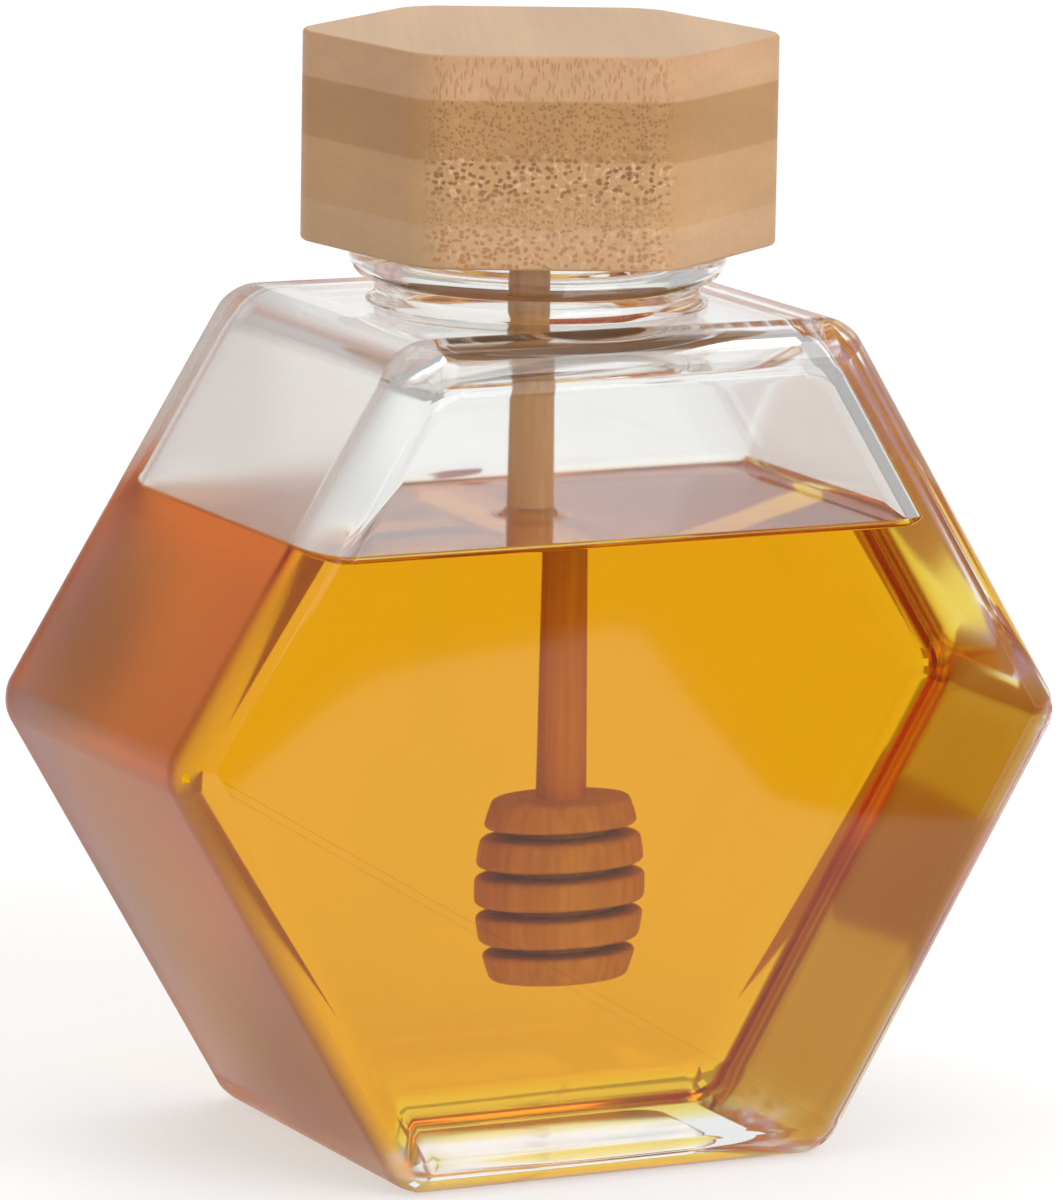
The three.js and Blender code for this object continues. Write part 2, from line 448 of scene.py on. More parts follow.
@dataclass(frozen=True)
class ClearGlass:
    """Pressed soda glass, which bends light only where it meets air and not where honey wets it.

    Each pair of places is where a part begins and where it is complete, in millimetres.
    """

    index: float = 1.5
    tint: Colour = (0.93, 0.935, 0.925)
    wave_size: float = 16.0
    wave_strength: float = 0.025
    polish: float = 0.05
    left_roughness: float = 0.4
    rim_roughness: float = 0.16
    right_roughness: float = 0.12
    back_edge_roughness: float = 0.6
    face_normal: Section = (0.97, 0.6)
    left_places: Section = (-12.0, -24.0)
    low_places: Section = (79.0, 69.0)
    shoulder_places: Section = (92.0, 97.0)
    back_places: Section = (20.5, 23.0)
    base_places: Section = (4.5, 2.0)
    base_strength: float = 0.45
    base_run: Triple = (34.0, 8.0, 6.0)
    wet_mark: str = "wetted"

    @staticmethod
    def between(bench: Bench, value: NodeSocket, places: Section) -> NodeSocket:
        """A smooth step between two places in millimetres."""
        return bench.fade(value, places[0] * MM, places[1] * MM)

    def roughness(self, bench: Bench, coords: Node) -> NodeSocket:
        """How rough the surface is: the narrow sides are less even than the faces, the left ones most.

        The left side's back edge is the least even part above the honey.

        Args:
            bench: the bench to work on.
            coords: the texture coordinates.

        Returns:
            The roughness socket.
        """
        place = bench.add("SeparateXYZ", {0: coords.outputs["Object"]}).outputs
        across = bench.math("ABSOLUTE", bench.add("SeparateXYZ", {0: coords.outputs["Normal"]}).outputs[1])
        side = bench.fade(across, *self.face_normal)
        left = self.between(bench, place[0], self.left_places)
        low = self.between(bench, place[2], self.low_places)
        shoulder = self.between(bench, place[2], self.shoulder_places)
        depth = bench.times(low, self.left_roughness - self.rim_roughness)
        left_part = bench.times(left, bench.plus(depth, self.rim_roughness - self.polish))
        right = bench.less(1.0, left)
        right_part = bench.times(right, self.right_roughness - self.polish)
        uneven = bench.times(side, bench.plus(left_part, right_part))
        uneven = bench.times(uneven, bench.less(1.0, shoulder))
        back_edge = bench.times(self.between(bench, place[1], self.back_places), left)
        back_edge = bench.times(back_edge, bench.less(1.0, low))
        extra = bench.times(back_edge, self.back_edge_roughness)
        return bench.math("MAXIMUM", extra, bench.plus(uneven, self.polish))

    def make(self) -> Material:
        """Builds the material."""
        bench = Bench("clear_glass")
        coords = bench.add("TexCoord")
        place = coords.outputs["Object"]
        waves = bench.add("TexNoise", {"Vector": place, "Scale": 1 / (self.wave_size * MM), "Detail": 0.0})
        runs = tuple(1 / (size * MM) for size in self.base_run)
        streaks = bench.add("TexNoise", {"Vector": bench.stretch(place, runs), "Scale": 1.0, "Detail": 0.0})
        base = self.between(bench, bench.add("SeparateXYZ", {0: place}).outputs[2], self.base_places)
        height = bench.times(waves.outputs["Fac"], self.wave_strength)
        pressed = bench.times(streaks.outputs["Fac"], self.base_strength)
        height = bench.plus(height, bench.times(pressed, base))
        bump = bench.add("Bump", {"Strength": 1.0, "Distance": MM, "Height": height})
        dry = bench.add(
            "BsdfPrincipled",
            {
                "Base Color": (*self.tint, 1.0),
                "Roughness": self.roughness(bench, coords),
                "IOR": self.index,
                "Transmission Weight": 1.0,
                "Normal": bump.outputs[0],
            },
        )
        return bench.finish(bench.unbent_where(self.wet_mark, dry))


@dataclass(frozen=True)
class GoldenHoney:
    """Clear golden honey, which bends light at its free surface and colours what passes through it.

    Its losses are parts of the light for each metre.
    """

    index: float = 1.49
    red_loss: float = 3.8
    green_loss: float = 18.8
    blue_loss: float = 116.0
    surface_roughness: float = 0.06
    ripple_size: float = 14.0
    ripple_strength: float = 0.12
    side_mark: str = "against_glass"

    def make(self) -> Material:
        """Builds the material."""
        bench = Bench("golden_honey")
        place = bench.add("TexCoord").outputs["Object"]
        ripple = bench.add("TexNoise", {"Vector": place, "Scale": 1 / (self.ripple_size * MM), "Detail": 0.0})
        bump = bench.add(
            "Bump",
            {"Strength": self.ripple_strength, "Distance": MM, "Height": ripple.outputs["Fac"]},
        )
        free = bench.add(
            "BsdfPrincipled",
            {
                "Base Color": WHITE,
                "Roughness": self.surface_roughness,
                "IOR": self.index,
                "Transmission Weight": 1.0,
                "Normal": bump.outputs[0],
            },
        )
        colour = (1 - self.red_loss / self.blue_loss, 1 - self.green_loss / self.blue_loss, 0.0, 1.0)
        body = bench.add("VolumeAbsorption", {"Color": colour, "Density": self.blue_loss})
        return bench.finish(bench.unbent_where(self.side_mark, free), body)


@dataclass(frozen=True)
class Pores:
    """One layer's pores, which are fibres that run along Y and show where they are cut across.

    Attributes:
        size: a cell's size along X and Z, in millimetres.
        reach: a pore's radius, in cells.
        share: how many cells hold one, from 0 to 1.
        strength: how much of the layer's colour a pore takes away.
    """

    size: Section
    reach: float
    share: float
    strength: float


@dataclass(frozen=True)
class LaminatedBamboo:
    """Bamboo glued in level layers, with pores where the fibres are cut across and fine lines elsewhere.

    Heights and sizes are in millimetres. The top face is painted paler than the layers' own colour, a painted
    sheen for the light that it mirrors.
    """

    bottom: float = 105.9
    height: float = 24.5
    turn: float = 23.4
    joints: tuple[float, float, float] = (110.9, 118.3, 125.2)
    foot_colour: Colour = (0.52, 0.31, 0.16)
    coarse_colour: Colour = (0.50, 0.28, 0.122)
    fine_colour: Colour = (0.43, 0.222, 0.082)
    top_colour: Colour = (0.54, 0.31, 0.16)
    # Painted sheen: the colour given to faces that look up, paler than the wood, standing in for light
    # mirrored off the top.
    painted_top_sheen_colour: Colour = (0.585, 0.375, 0.215)
    pore_colour: Colour = (0.21, 0.085, 0.025)
    rust_colour: Colour = (0.40, 0.165, 0.05)
    fleck_colour: Colour = (0.74, 0.52, 0.32)
    fleck_strength: float = 0.5
    fine_pores: Pores = Pores((0.5, 0.5), 0.5, 0.7, 0.55)
    coarse_pores: Pores = Pores((0.85, 0.7), 0.5, 0.85, 0.85)
    foot_pores: Pores = Pores((0.8, 0.66), 0.52, 0.85, 0.75)
    top_streaks: Pores = Pores((0.4, 1.5), 0.5, 0.75, 0.55)
    wander_size: Triple = (0.9, 9.0, 0.9)
    wander: float = 0.35
    mottle_size: Triple = (0.55, 10.0, 0.6)
    line_size: Triple = (0.6, 40.0, 0.6)
    drift_size: Triple = (9.0, 70.0, 6.0)
    end_normal: Section = (0.78, 0.96)
    # How far up a face must look to take the painted top sheen.
    top_sheen_facing: Section = (0.8, 0.97)
    fleck_levels: Section = (0.53, 0.68)

    def layers(self, bench: Bench, height: NodeSocket) -> NodeSocket:
        """The plain colour of each glued layer.

        Args:
            bench: the bench to work on.
            height: the height above the base, in metres.

        Returns:
            The colour socket.
        """
        share = bench.math("MULTIPLY_ADD", height, 1 / (self.height * MM))
        share.node.inputs[2].default_value = -self.bottom / self.height
        ramp = bench.add("ValToRGB", {0: share})
        stops = ramp.color_ramp.elements
        colours = (self.foot_colour, self.coarse_colour, self.fine_colour, self.top_colour)
        places = [(joint - self.bottom) / self.height for joint in self.joints]
        stops[0].position, stops[1].position = 0.0, 1.0
        stops[0].color, stops[1].color = (*colours[0], 1.0), (*colours[3], 1.0)
        for i, spot in enumerate(places):
            for shift, colour in ((-0.006, colours[i]), (0.006, colours[i + 1])):
                stop = stops.new(spot + shift)
                stop.color = (*colour, 1.0)
        return ramp.outputs["Color"]

    def noise(self, bench: Bench, place: NodeSocket, size: Triple, detail: float = 2.0) -> Node:
        """Soft noise whose waves have a size along X, Y and Z in millimetres, with finer octaves."""
        scale = tuple(1 / (axis * MM) for axis in size)
        return bench.add("TexNoise", {"Vector": bench.stretch(place, scale), "Scale": 1.0, "Detail": detail})

    def pores(self, bench: Bench, place: NodeSocket, kind: Pores, band: NodeSocket) -> NodeSocket:
        """The pores of one layer.

        Args:
            bench: the bench to work on.
            place: where, with Y along the fibres.
            kind: their size, share and strength.
            band: 1 in the layer and 0 outside.

        Returns:
            A socket that is the pores' strength in a pore and 0 outside.
        """
        parts = bench.add("SeparateXYZ", {0: place}).outputs
        across = bench.times(parts[0], 1 / (kind.size[0] * MM))
        upwards = bench.times(parts[2], 1 / (kind.size[1] * MM))
        section = bench.add("CombineXYZ", {0: across, 1: upwards}).outputs[0]
        cells = bench.add("TexVoronoi", {"Vector": section, "Scale": 1.0}, voronoi_dimensions="2D")
        near = bench.fade(cells.outputs["Distance"], kind.reach, kind.reach * 0.4)
        lot = bench.add("SeparateColor", {0: cells.outputs["Color"]}).outputs[0]
        kept = bench.fade(lot, 1.0 - kind.share, 1.0 - kind.share + 0.3)
        inside = bench.times(bench.times(near, kept), band)
        return bench.times(inside, kind.strength)

    def along_fibres(self, bench: Bench, vector: NodeSocket, kind: str) -> NodeSocket:
        """Turns a place, a POINT, or a NORMAL so that Y runs along the fibres."""
        turned = bench.add("Mapping", {"Vector": vector}, vector_type=kind)
        turned.inputs["Rotation"].default_value = (0.0, 0.0, math.radians(self.turn))
        return turned.outputs[0]

    def warp(self, bench: Bench, place: NodeSocket) -> NodeSocket:
        """A place drawn a little to the side, so that no fibre runs quite straight."""
        drawn = self.noise(bench, place, self.wander_size).outputs["Color"]
        drawn = bench.add("VectorMath", {0: drawn, 1: (0.5, 0.5, 0.5)}, operation="SUBTRACT").outputs[0]
        drawn = bench.stretch(drawn, (self.wander * 2 * MM, 0.0, self.wander * 2 * MM))
        return bench.add("VectorMath", {0: place, 1: drawn}, operation="ADD").outputs[0]

    def make(self) -> Material:
        """Builds the material."""
        bench = Bench("laminated_bamboo")
        coords = bench.add("TexCoord")
        place = self.along_fibres(bench, coords.outputs["Object"], "POINT")
        height = bench.add("SeparateXYZ", {0: place}).outputs[2]
        facing = self.along_fibres(bench, coords.outputs["Normal"], "NORMAL")
        across = bench.math("ABSOLUTE", bench.add("SeparateXYZ", {0: facing}).outputs[1])
        end_grain = bench.fade(across, *self.end_normal)
        warped = self.warp(bench, place)

        low, middle, high = (joint * MM for joint in self.joints)
        in_top = bench.fade(height, high - 0.1 * MM, high + 0.1 * MM)
        in_foot = bench.fade(height, low + 0.2 * MM, low - 0.2 * MM)
        coarse_band = bench.times(
            bench.fade(height, low - 1.0 * MM, middle - 2.0 * MM),
            bench.fade(height, middle + 1.6 * MM, middle - 0.4 * MM),
        )
        rest = bench.less(bench.less(1.0, in_top), coarse_band)
        rest = bench.math("MAXIMUM", bench.less(rest, in_foot), 0.0)
        fine = self.pores(bench, warped, self.fine_pores, rest)
        coarse = self.pores(bench, warped, self.coarse_pores, coarse_band)
        foot = self.pores(bench, warped, self.foot_pores, in_foot)
        streaks = self.pores(bench, warped, self.top_streaks, in_top)
        dark = bench.times(bench.math("MAXIMUM", fine, coarse), end_grain)
        rust = bench.times(bench.math("MAXIMUM", streaks, foot), end_grain)
        mottle = self.noise(bench, warped, self.mottle_size, 3.0).outputs["Fac"]
        flecks = bench.fade(mottle, *self.fleck_levels)
        speckled = bench.plus(coarse_band, bench.times(in_foot, 0.5))
        speckled = bench.plus(speckled, 0.2)
        flecks = bench.times(bench.times(flecks, speckled), end_grain)

        lines = self.noise(bench, place, self.line_size, 3.0).outputs["Fac"]
        drift = self.noise(bench, place, self.drift_size).outputs["Fac"]
        shade = bench.plus(bench.times(lines, 0.16), bench.times(drift, 0.34))
        shade = bench.plus(shade, 0.75)
        tone = bench.add("CombineColor", {0: shade, 1: shade, 2: shade}).outputs[0]
        # Painted sheen: faces that look up are blended towards a paler colour, standing in for light mirrored
        # off the lid's top.
        lift = bench.add("SeparateXYZ", {0: coords.outputs["Normal"]}).outputs[2]
        top_sheen = bench.fade(lift, *self.top_sheen_facing)
        layers_with_top_sheen = bench.blend(top_sheen, self.layers(bench, height), self.painted_top_sheen_colour)
        colour = bench.blend(1.0, layers_with_top_sheen, tone, "MULTIPLY")
        colour = bench.blend(bench.times(flecks, self.fleck_strength), colour, self.fleck_colour)
        colour = bench.blend(rust, colour, self.rust_colour)
        colour = bench.blend(dark, colour, self.pore_colour)
        pits = bench.math("MAXIMUM", dark, rust)
        relief = bench.less(bench.times(lines, 0.25), pits)
        bump = bench.add("Bump", {"Strength": 0.4, "Distance": 0.15 * MM, "Height": relief})
        wood = bench.add(
            "BsdfPrincipled",
            {
                "Base Color": colour,
                "Roughness": bench.plus(bench.times(pits, 0.2), 0.5),
                "Specular IOR Level": 0.4,
                "Normal": bump.outputs[0],
            },
        )
        return bench.finish(wood)


@dataclass(frozen=True)
class TurnedWood:
    """Pale close-grained wood, turned, with its grain along the stick."""

    pale: Colour = (0.90, 0.50, 0.205)
    dark: Colour = (0.72, 0.345, 0.12)
    grain_cells: Triple = (900.0, 900.0, 45.0)
    drift_cells: Triple = (160.0, 160.0, 30.0)

    def make(self) -> Material:
        """Builds the material, whose cells are counted in each metre."""
        bench = Bench("turned_wood")
        place = bench.add("TexCoord").outputs["Object"]
        waves = []
        for cells, detail in ((self.grain_cells, 4.0), (self.drift_cells, 2.0)):
            inputs = {"Vector": bench.stretch(place, cells), "Scale": 1.0, "Detail": detail}
            waves.append(bench.add("TexNoise", inputs).outputs["Fac"])
        grain, drift = waves
        share = bench.plus(bench.times(grain, 0.6), bench.times(drift, 0.5))
        colour = bench.blend(bench.fade(share, 0.35, 0.75), self.pale, self.dark)
        bump = bench.add("Bump", {"Strength": 0.2, "Distance": 0.1 * MM, "Height": grain})
        wood = bench.add(
            "BsdfPrincipled",
            {
                "Base Color": colour,
                "Roughness": bench.plus(bench.times(grain, 0.15), 0.45),
                "Specular IOR Level": 0.35,
                "Normal": bump.outputs[0],
            },
        )
        return bench.finish(wood)


@dataclass(frozen=True)
class StagePaint:
    """The matt paint of one stage prop, plain or with clouds of a second colour."""

    name: str
    colour: Colour
    glow: float = 0.0
    cloud_colour: Colour | None = None
    cloud_size: float = 0.16

    def make(self) -> Material:
        """Builds the material."""
        bench = Bench(self.name)
        colour: object = (*self.colour, 1.0)
        if self.cloud_colour:
            place = bench.add("TexCoord").outputs["Object"]
            clouds = bench.add("TexNoise", {"Vector": place, "Scale": 1 / self.cloud_size, "Detail": 0.0})
            share = bench.fade(clouds.outputs["Fac"], 0.42, 0.6)
            colour = bench.blend(share, self.colour, self.cloud_colour)
        paint = bench.add(
            "BsdfPrincipled",
            {
                "Base Color": colour,
                "Roughness": 0.9,
                "Specular IOR Level": 0.1,
                "Emission Color": WHITE,
                "Emission Strength": self.glow,
            },
        )
        return bench.finish(paint)


# The pot


@dataclass(frozen=True)
class SixSides:
    """The body's six-sided outline, seen from the front."""

    half_base: float = 27.4
    half_waist: float = 57.5
    half_shoulder: float = 28.3
    waist_height: float = 51.3
    height: float = 99.0

    def corners(self, walls: Sequence[float] = (0.0,) * 6) -> list[Section]:
        """The six corners from the base's left end, anticlockwise, each side moved inwards by its wall.

        Args:
            walls: for the base, lower right, upper right, shoulder, upper left and lower left side.

        Returns:
            The corners as (x, z).
        """
        sharp = [
            Vector((-self.half_base, 0.0)),
            Vector((self.half_base, 0.0)),
            Vector((self.half_waist, self.waist_height)),
            Vector((self.half_shoulder, self.height)),
            Vector((-self.half_shoulder, self.height)),
            Vector((-self.half_waist, self.waist_height)),
        ]
        sides = []
        for i, corner in enumerate(sharp):
            along = (sharp[(i + 1) % 6] - corner).normalized()
            inward = Vector((-along.y, along.x))
            sides.append((corner + inward * walls[i], along))
        met = []
        for i, (start, along) in enumerate(sides):
            before, run = sides[i - 1]
            reach = (start - before).cross(along) / run.cross(along)
            met.append(tuple(before + run * reach))
        return met

    def depth_inside(self, x: float, z: float) -> float:
        """How far a point lies inside the nearest side, negative outside."""
        nearest = math.inf
        corners = [Vector(corner) for corner in self.corners()]
        for i, corner in enumerate(corners):
            along = (corners[(i + 1) % 6] - corner).normalized()
            offset = Vector((x, z)) - corner
            nearest = min(nearest, along.cross(offset))
        return nearest


@dataclass
class GlassJar:
    """The glass: a six-sided slab on its narrow side, with a round neck and a rolled rim."""

    outline: SixSides = field(default_factory=SixSides)
    depth: float = 55.4
    corner_radius: float = 5.2
    rim_radius: float = 4.8
    floor: float = 5.5
    side_wall: float = 3.6
    face_wall: float = 3.2
    ceiling: float = 3.0
    inner_corner_radius: float = 7.5
    inner_rim_radius: float = 4.0
    hollow_depth: float = 0.8
    hollow_slope: float = 3.0
    hollow_margin: float = 7.0
    hollow_edge: float = 0.5
    hollow_steps: int = 3
    neck_radius: float = 18.9
    bore_radius: float = 16.0
    neck_fillet: float = 1.6
    bore_fillet: float = 2.4
    bead_radius: float = 3.1
    bead_height: float = 104.6
    contact: float = 75.1
    arc_steps: tuple[int, int] = (10, 8)
    round_steps: int = 128
    fillet_steps: int = 8
    bead_steps: int = 24
    lip_steps: int = 10
    foot_angle: float = 20.0
    skin: float = 1.6

    def cavity(self, ease: float = 0.0) -> BMesh:
        """The jar's inside, with every wall moved inwards by an ease, or into the glass if it is negative."""
        walls = (self.floor, self.side_wall, self.side_wall, self.ceiling, self.side_wall, self.side_wall)
        corners = self.outline.corners([wall + ease for wall in walls])
        reach = (self.inner_corner_radius - ease) * CORNER_SHARE
        rim = self.inner_rim_radius - ease
        return rounded_prism(corners, self.depth - 2 * (self.face_wall + ease), reach, rim, self.arc_steps)

    def throat(self, ground: float, sink: float, radius: float, fillet: float) -> Outline:
        """Starts the section of the neck or the bore, as far as the end of its fillet.

        Args:
            ground: the height of the flat face that the fillet rises from.
            sink: how far below that face the section starts.
            radius: the radius above the fillet.
            fillet: the fillet's radius.

        Returns:
            The section so far.
        """
        centre = radius + fillet
        tilt = math.radians(self.foot_angle)
        lift = fillet * math.cos(tilt / 2)
        start = (centre - fillet * math.sin(tilt), ground + lift - fillet * math.cos(tilt))
        section = Outline(0.0, ground - sink).line(start[0], ground - sink).line(*start)
        return section.arc(centre, ground + lift, self.foot_angle - 90.0, self.fillet_steps)

    def neck(self) -> BMesh:
        """The outside of the neck, from inside the shoulder up over the bead."""
        section = self.throat(self.outline.height, self.ceiling / 2, self.neck_radius, self.neck_fillet)
        section.line(self.neck_radius, self.bead_height - self.bead_radius)
        section.arc(self.neck_radius, self.bead_height, 180.0, self.bead_steps)
        section.line(0.0, self.bead_height + self.bead_radius)
        return section.spin(self.round_steps)

    def mouth(self) -> BMesh:
        """What the mouth leaves open: the bore, rounded out below and over the rim."""
        lip = self.neck_radius - self.bore_radius
        corner = self.bead_height + self.bead_radius - lip
        above = self.bead_height + 2 * self.bead_radius
        under = self.outline.height - self.ceiling
        section = self.throat(under, self.bore_fillet, self.bore_radius, self.bore_fillet)
        section.line(self.bore_radius, corner)
        section.arc(self.neck_radius, corner, -90.0, self.lip_steps)
        section.line(self.neck_radius, above).line(0.0, above)
        return section.spin(self.round_steps)

    def base_hollow(self) -> BMesh:
        """The shallow hollow pressed up into the base."""
        bm = bmesh.new()
        bmesh.ops.create_cube(bm, size=1.0)
        width = 2 * (self.outline.half_base - self.hollow_margin)
        depth = self.depth - 2 * self.hollow_margin
        bmesh.ops.scale(bm, vec=(width, depth, 2 * self.hollow_depth), verts=bm.verts[:])
        upright = [e for e in bm.edges if abs(e.verts[0].co.z - e.verts[1].co.z) > self.hollow_depth]
        round_edges(bm, upright, self.corner_radius, self.arc_steps[0])
        shrink = (1 - 2 * self.hollow_slope / width, 1 - 2 * self.hollow_slope / depth, 1.0)
        roof = [v for v in bm.verts if v.co.z > 0]
        bmesh.ops.scale(bm, vec=shrink, verts=roof)
        rim = edges_of(bm, lambda face: face.normal.z > 0.99)
        round_edges(bm, rim, self.hollow_edge, self.hollow_steps)
        return tidy(bm)

    def lies_inside(self, centre: Vector) -> bool:
        """Whether a face with its centre here, in millimetres, belongs to the inside of the body."""
        deep = self.outline.depth_inside(centre.x, centre.z) > self.skin
        between = abs(centre.y) < self.depth / 2 - self.skin
        return deep and between and self.skin < centre.z < self.outline.height

    def wetted(self, centre: Vector, _normal: Vector) -> bool:
        """Whether honey lies against a face of the glass: an inner face below the contact line."""
        return self.lies_inside(centre) and centre.z < self.contact

    def split_at_contact(self, bm: BMesh) -> None:
        """Splits the inner faces along the honey's contact line."""
        inner = [f for f in bm.faces if self.lies_inside(f.calc_center_median())]
        parts = [part for face in inner for part in (*face.verts, *face.edges, face)]
        bmesh.ops.bisect_plane(
            bm,
            geom=list(dict.fromkeys(parts)),
            dist=WELD,
            plane_co=(0.0, 0.0, self.contact),
            plane_no=(0.0, 0.0, 1.0),
        )

    def build(self) -> Object:
        """Builds and dresses the glass."""
        reach = self.corner_radius * CORNER_SHARE
        body = rounded_prism(self.outline.corners(), self.depth, reach, self.rim_radius, self.arc_steps)
        glass = make_piece("glass_jar", body)
        work(glass, make_piece("neck", self.neck()), Cut.JOIN)
        inside = make_piece("inside", self.cavity())
        work(inside, make_piece("mouth", self.mouth()), Cut.JOIN)
        work(glass, inside, Cut.REMOVE)
        work(glass, make_piece("base_hollow", self.base_hollow()), Cut.REMOVE)
        reshape(glass, merge_flats)
        reshape(glass, self.split_at_contact)
        finish = ClearGlass()
        mark_faces(glass, finish.wet_mark, self.wetted)
        glass.data.materials.clear()
        glass.data.materials.append(finish.make())
        even_normals(glass, 50.0)
        return glass


@dataclass
class TurnedDipper:
    """The honey dipper: a tapered stick and a barrel-shaped head of discs parted by grooves."""

    place: float = -1.0
    stick_top_radius: float = 2.3
    stick_foot_radius: float = 3.15
    stick_top: float = 112.0
    head_bottom: float = 20.7
    head_height: float = 21.4
    discs: int = 5
    head_radius: float = 10.6
    end_radius: float = 8.5
    groove_mouth: float = 1.3
    groove_floor: float = 0.7
    groove_depth: float = 3.8
    edge_radius: float = 0.55
    edge_steps: int = 4
    edge_angle: float = 40.0
    round_steps: int = 96

    def barrel(self, height: float) -> float:
        """The head's radius at a height."""
        share = 2 * (height - self.head_bottom) / self.head_height - 1
        return self.head_radius - (self.head_radius - self.end_radius) * share * share

    def turn(self, ease: float = 0.0) -> BMesh:
        """Turns the dipper, or a body that lies a little inside it.

        Args:
            ease: how far every face moves into the wood.

        Returns:
            The closed mesh.
        """
        pitch = (self.head_height + self.groove_mouth) / self.discs
        slant = (self.groove_mouth - self.groove_floor) / 2
        half = self.groove_mouth / 2
        section = Outline(0.0, self.head_bottom + ease)
        for i in range(self.discs):
            low = self.head_bottom + i * pitch
            high = low + pitch - self.groove_mouth
            if i > 0:
                groove = self.barrel(low - half) - self.groove_depth - ease
                section.line(groove, low - slant + ease)
            section.line(self.barrel(low) - ease, low + ease)
            section.line(self.barrel((low + high) / 2) - ease, (low + high) / 2)
            section.line(self.barrel(high) - ease, high - ease)
            if i < self.discs - 1:
                groove = self.barrel(high + half) - self.groove_depth - ease
                section.line(groove, high + slant - ease)
        section.line(self.stick_foot_radius - ease, self.head_bottom + self.head_height - ease)
        section.line(self.stick_top_radius - ease, self.stick_top - ease)
        section.line(0.0, self.stick_top - ease)
        return self.hang(section.spin(self.round_steps))

    def hang(self, bm: BMesh) -> BMesh:
        """Moves something turned about the middle to where the dipper hangs."""
        bmesh.ops.translate(bm, vec=(self.place, 0.0, 0.0), verts=bm.verts[:])
        return bm

    def disc_edges(self, bm: BMesh) -> list[BMEdge]:
        """The sharp rings on the rims of the discs."""
        found = []
        for edge in bm.edges:
            ends = [math.hypot(v.co.x - self.place, v.co.y) for v in edge.verts]
            level = abs(edge.verts[0].co.z - edge.verts[1].co.z) < WELD
            sharp = edge.calc_face_angle(0.0) > math.radians(self.edge_angle)
            if level and sharp and min(ends) > self.end_radius - 1.0:
                found.append(edge)
        return found

    def build(self) -> Object:
        """Builds and dresses the dipper."""
        wood = self.turn()
        round_edges(wood, self.disc_edges(wood), self.edge_radius, self.edge_steps)
        piece = make_piece("honey_dipper", tidy(wood))
        piece.data.materials.append(TurnedWood().make())
        even_normals(piece, 40.0)
        return piece


@dataclass
class HoneyFill:
    """The honey: it fills the jar to its level and climbs a little where it meets glass and wood."""

    jar: GlassJar
    dipper: TurnedDipper
    level: float = 73.9
    bite: float = 0.2
    wood_bite: float = 0.25
    climb: tuple[Section, ...] = ((0.25, 0.38), (0.35, 0.32), (0.5, 0.25), (0.8, 0.17), (1.1, 0.08))
    surface_band: float = 0.3
    surface_tilt: float = 0.15

    def collar(self) -> BMesh:
        """The honey drawn up round the stick, from below the level to its top inside the wood."""
        share = (self.level - self.dipper.head_bottom) / (self.dipper.stick_top - self.dipper.head_bottom)
        stick = self.dipper.stick_foot_radius
        stick += (self.dipper.stick_top_radius - stick) * share
        width = stick + sum(step[0] for step in self.climb)
        section = Outline(0.0, self.level - 1.0).line(width, self.level - 1.0).line(width, self.level)
        radius, height = width, self.level
        for across, up in reversed(self.climb):
            radius -= across
            height += up
            section.line(radius, height)
        section.line(0.0, height)
        return self.dipper.hang(section.spin(self.dipper.round_steps))

    def pour(self, bm: BMesh) -> None:
        """Cuts the body at the contact line and sinks its top to the level, in rings."""
        made = bmesh.ops.bisect_plane(
            bm,
            geom=bm.verts[:] + bm.edges[:] + bm.faces[:],
            dist=WELD,
            plane_co=(0.0, 0.0, self.jar.contact),
            plane_no=(0.0, 0.0, 1.0),
            clear_outer=True,
        )
        rim = [e for e in made["geom_cut"] if isinstance(e, BMEdge)]
        top = bmesh.ops.contextual_create(bm, geom=rim)["faces"]
        bmesh.ops.recalc_face_normals(bm, faces=bm.faces[:])
        for across, down in self.climb:
            bmesh.ops.inset_individual(bm, faces=top, thickness=across, depth=-down, use_even_offset=True)

    def lies_on_glass(self, centre: Vector, normal: Vector) -> bool:
        """Whether a face lies against glass or wood, and isn't part of the free surface."""
        return not (centre.z > self.level - self.surface_band and normal.z > self.surface_tilt)

    def build(self) -> Object:
        """Builds and dresses the honey."""
        honey = make_piece("honey_fill", self.jar.cavity(-self.bite))
        reshape(honey, self.pour)
        work(honey, make_piece("collar", self.collar()), Cut.JOIN)
        work(honey, make_piece("dipper_core", self.dipper.turn(self.wood_bite)), Cut.REMOVE)
        finish = GoldenHoney()
        mark_faces(honey, finish.side_mark, self.lies_on_glass)
        honey.data.materials.clear()
        honey.data.materials.append(finish.make())
        even_normals(honey, 50.0)
        return honey


